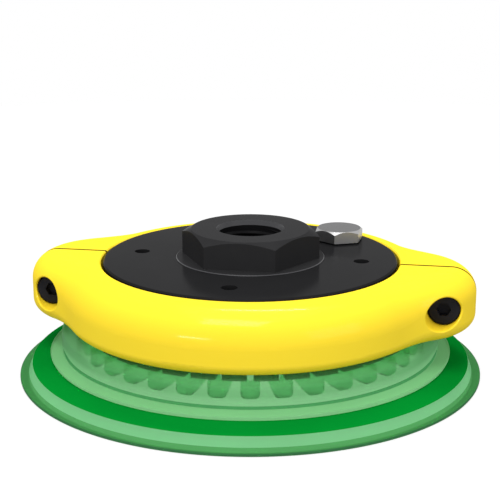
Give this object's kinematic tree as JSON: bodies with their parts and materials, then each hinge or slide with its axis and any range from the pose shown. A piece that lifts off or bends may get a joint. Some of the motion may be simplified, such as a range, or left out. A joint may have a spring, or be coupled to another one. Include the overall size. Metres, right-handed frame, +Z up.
{
  "type": "flat vacuum cup",
  "caption": "Flat vacuum cup with a soft see-through skirt and inner cleats, a black base plate with a threaded hex port, and a split clamp ring closed by a screw in each lug.",
  "frame": {"origin": "centre of the lip's sealing plane, at the bottom of the cup", "axes": "+Z up the port axis, away from the gripped sheet; the clamp lugs lie along X and the screw heads face -Y"},
  "size_m": [0.15, 0.15, 0.0462],
  "materials": {
    "cup_polymer": "see-through soft polyurethane, satin",
    "clamp_plastic": "glossy moulded plastic",
    "plate_anodised": "black anodised, satin",
    "fitting_anodised": "black anodised, satin",
    "plug_steel": "turned, plain",
    "seal_rubber": "matt black",
    "screw_steel": "black oxide",
    "nut_steel": "black oxide"
  },
  "bodies": {
    "root": {"vacuum_cup": "cup_polymer", "base_plate": "plate_anodised", "port_fitting": "fitting_anodised", "fitting_seal": "seal_rubber", "port_plug": "plug_steel", "plug_seal": "seal_rubber", "clamp_front": "clamp_plastic", "clamp_rear": "clamp_plastic", "clamp_screw_right": "screw_steel", "clamp_screw_left": "screw_steel", "clamp_nut_right": "nut_steel", "clamp_nut_left": "nut_steel"}
  },
  "joints": []
}
